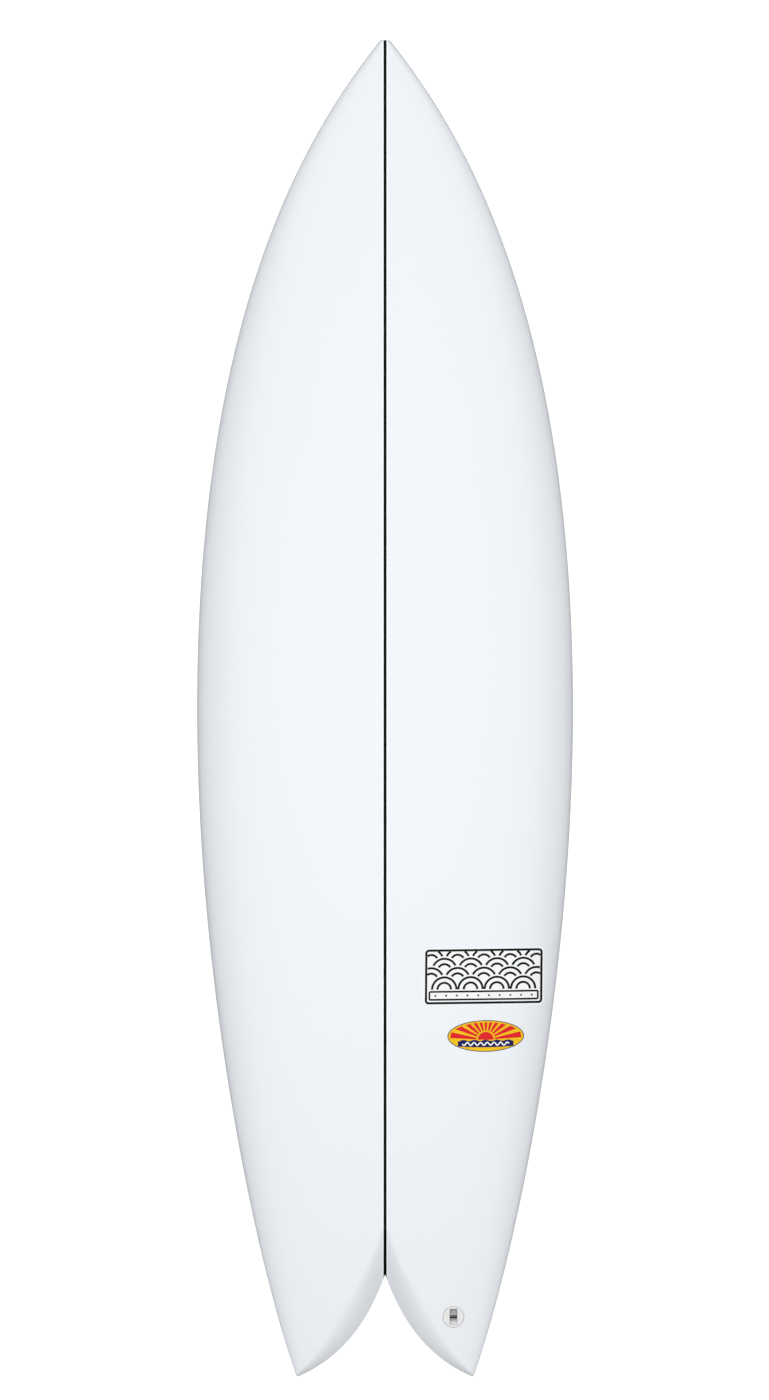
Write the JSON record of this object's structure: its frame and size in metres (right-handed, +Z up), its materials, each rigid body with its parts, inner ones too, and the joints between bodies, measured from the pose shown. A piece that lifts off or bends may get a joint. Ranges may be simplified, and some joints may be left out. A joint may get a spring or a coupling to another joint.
{
  "type": "surfboard",
  "caption": "Swallow-tail twin-fin shortboard: foam blank and stringer under a glossy glass laminate, slide-out fins clamped by grub screws, leash plug in the right tail lobe.",
  "frame": {"origin": "centre of the footprint on the ground, under the middle of the board's length and width, with the board lying deck up on its belly and its two fin tips", "axes": "+Y towards the nose, +X to the rider's right, +Z up; the deck faces up and leans 6.2 degrees nose down"},
  "size_m": [0.501, 1.7756, 0.1783],
  "materials": {
    "deck_glass": "gloss",
    "bottom_glass": "gloss",
    "foam": "matte",
    "stringer": "satin",
    "glue": "satin",
    "print_white": "gloss",
    "print_yellow": "gloss",
    "plug_plastic": "satin",
    "pin_metal": "satin",
    "resin": "gloss",
    "fin_composite": "gloss",
    "screw_steel": "satin"
  },
  "bodies": {
    "board": {"deck_laminate": "deck_glass", "bottom_laminate": "bottom_glass", "foam_blank_left": "foam", "foam_blank_right": "foam", "stringer": "stringer", "glue_line_left": "glue", "glue_line_right": "glue", "deck_decal_large": "print_white", "deck_decal_small": "print_yellow", "leash_plug_body": "plug_plastic", "leash_pin": "pin_metal", "leash_plug_resin": "resin", "fin_plug_left_front": "plug_plastic", "fin_plug_resin_left_front": "resin", "fin_plug_left_rear": "plug_plastic", "fin_plug_resin_left_rear": "resin", "fin_plug_right_front": "plug_plastic", "fin_plug_resin_right_front": "resin", "fin_plug_right_rear": "plug_plastic", "fin_plug_resin_right_rear": "resin"},
    "fin_left": {"fin_left": "fin_composite"},
    "fin_right": {"fin_right": "fin_composite"},
    "grub_screw_left_front": {"grub_screw_left_front": "screw_steel"},
    "grub_screw_left_rear": {"grub_screw_left_rear": "screw_steel"},
    "grub_screw_right_front": {"grub_screw_right_front": "screw_steel"},
    "grub_screw_right_rear": {"grub_screw_right_rear": "screw_steel"}
  },
  "joints": [
    {"name": "fin_left_slide", "type": "slide", "parent": "board", "child": "fin_left", "axis": [-0.1044, -0.1965, -0.9749], "range_m": [0, 0.016]},
    {"name": "grub_screw_left_front_turn", "type": "hinge", "parent": "board", "child": "grub_screw_left_front", "pos_m": [-0.12579, -0.63256, 0.12405], "axis": [0.4844, -0.1974, -0.8523], "range_deg": [0, 1080]},
    {"name": "grub_screw_left_rear_turn", "type": "hinge", "parent": "board", "child": "grub_screw_left_rear", "pos_m": [-0.12839, -0.69126, 0.13617], "axis": [0.4844, -0.1974, -0.8523], "range_deg": [0, 1080]},
    {"name": "fin_right_slide", "type": "slide", "parent": "board", "child": "fin_right", "axis": [0.1044, -0.1965, -0.9749], "range_m": [0, 0.016]},
    {"name": "grub_screw_right_front_turn", "type": "hinge", "parent": "board", "child": "grub_screw_right_front", "pos_m": [0.12579, -0.63256, 0.12405], "axis": [-0.4844, -0.1974, -0.8523], "range_deg": [0, 1080]},
    {"name": "grub_screw_right_rear_turn", "type": "hinge", "parent": "board", "child": "grub_screw_right_rear", "pos_m": [0.12839, -0.69126, 0.13617], "axis": [-0.4844, -0.1974, -0.8523], "range_deg": [0, 1080]}
  ]
}
